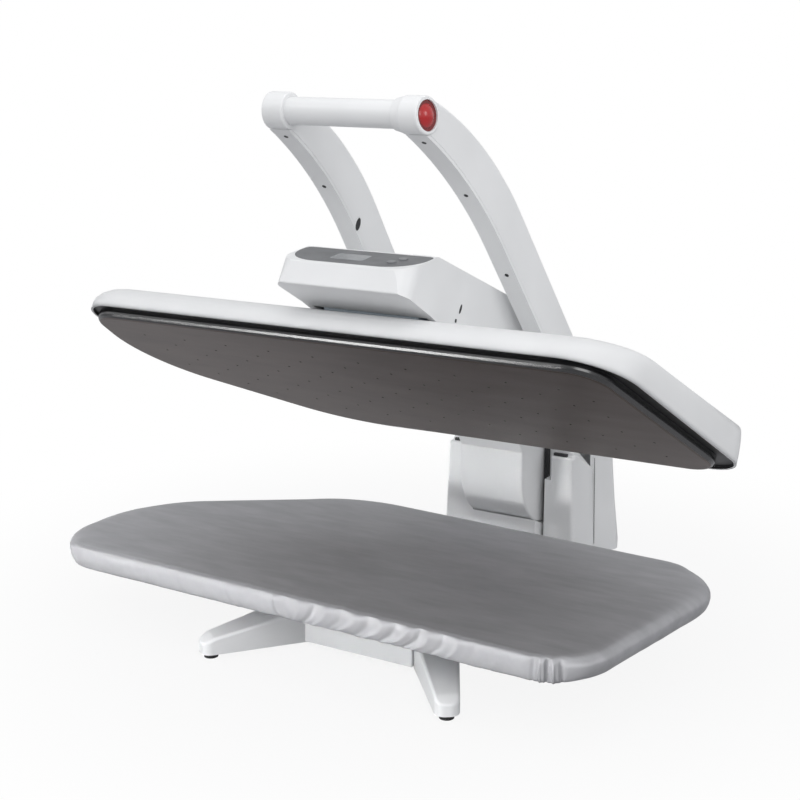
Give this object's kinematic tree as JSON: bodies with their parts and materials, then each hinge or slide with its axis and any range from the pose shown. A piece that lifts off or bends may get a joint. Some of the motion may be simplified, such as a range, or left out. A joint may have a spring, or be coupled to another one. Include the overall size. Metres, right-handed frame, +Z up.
{
  "type": "steam ironing press",
  "caption": "Tabletop steam ironing press standing open: a padded satin-covered board, a heated holed platen in a white head, and a two-arm handle with a red steam button.",
  "frame": {"origin": "centre of the overall box on the table", "axes": "X along the board's length to the right, Y to the rear, Z up"},
  "size_m": [0.8334, 0.6865, 0.6968],
  "materials": {
    "white_plastic": "satin moulded",
    "painted_steel": "powder coat",
    "dark_steel": "dark powder coat",
    "steel": "plain",
    "coated_aluminium": "dark non-stick coat",
    "black_rubber": "matte",
    "black_plastic": "matte",
    "foam": "open foam",
    "satin_cloth": "metallised satin weave",
    "grip_plastic": "satin moulded",
    "red_plastic": "gloss",
    "panel_plastic": "satin",
    "display": "clear over grey",
    "board_plastic": "solder mask",
    "tank_plastic": "translucent",
    "bush_brass": "plain",
    "panel_keys": "satin"
  },
  "bodies": {
    "base": {"base_spine": "painted_steel", "front_beam": "white_plastic", "front_leg_left": "white_plastic", "front_leg_right": "white_plastic", "rubber_feet": "black_rubber", "column_plate": "painted_steel", "board_supports": "painted_steel", "board_tray": "painted_steel", "foam_pad": "foam", "board_cover": "satin_cloth", "hinge_yoke": "dark_steel", "hinge_axle": "steel", "lift_springs": "steel", "upright_left": "white_plastic", "upright_right": "white_plastic", "rear_cover": "white_plastic", "cord_inlet": "black_rubber", "stop_pads": "black_rubber"},
    "head": {"platen": "coated_aluminium", "heating_element": "coated_aluminium", "steam_chamber": "coated_aluminium", "thermostat": "black_plastic", "thermal_fuse": "black_plastic", "head_shell": "white_plastic", "platen_rim": "black_plastic", "heat_shield": "steel", "platen_studs": "steel", "neck_frame": "painted_steel", "hinge_bushes": "bush_brass", "neck_cover": "white_plastic", "control_hood": "white_plastic", "control_panel": "panel_plastic", "display_window": "display", "circuit_board": "board_plastic", "water_tank": "tank_plastic", "water_pump": "black_plastic", "steam_hose": "black_rubber"},
    "filler_cap": {"filler_cap": "white_plastic"},
    "panel_key_front": {"panel_key_front": "panel_keys"},
    "panel_key_rear": {"panel_key_rear": "panel_keys"},
    "handle": {"left_arm": "white_plastic", "left_arm_strip": "white_plastic", "right_arm": "white_plastic", "right_arm_strip": "white_plastic", "arm_screws": "steel", "grip_tube": "grip_plastic", "grip_end_cap": "white_plastic", "steam_switch": "black_plastic", "handle_shaft": "steel", "shaft_sleeves": "black_plastic"},
    "steam_button": {"steam_button": "red_plastic"}
  },
  "joints": [
    {"name": "head_hinge", "type": "hinge", "parent": "base", "child": "head", "pos_m": [0.0205, 0.2145, 0.1646], "axis": [1, 0, 0], "range_deg": [0, 32.4], "stiffness_Nm_per_rad": 25, "springref_deg": -126.05},
    {"name": "handle_press", "type": "hinge", "parent": "head", "child": "handle", "pos_m": [0.0205, 0.15743, 0.25104], "axis": [1, 0, 0], "range_deg": [0, 8], "stiffness_Nm_per_rad": 12, "springref_deg": -51.57},
    {"name": "steam_button_push", "type": "slide", "parent": "handle", "child": "steam_button", "axis": [-0.9816, 0.1611, -0.1022], "range_m": [0, 0.003], "stiffness_N_per_m": 600, "springref_m": -0.003},
    {"name": "panel_key_front_push", "type": "slide", "parent": "head", "child": "panel_key_front", "axis": [0, 0.0866, -0.9962], "range_m": [0, 0.001], "stiffness_N_per_m": 500, "springref_m": -0.002},
    {"name": "panel_key_rear_push", "type": "slide", "parent": "head", "child": "panel_key_rear", "axis": [0, 0.0866, -0.9962], "range_m": [0, 0.001], "stiffness_N_per_m": 500, "springref_m": -0.002},
    {"name": "filler_cap_turn", "type": "hinge", "parent": "head", "child": "filler_cap", "pos_m": [0.0625, -0.16104, 0.49364], "axis": [0, 0.3642, 0.9313], "range_deg": [0, 90]}
  ]
}
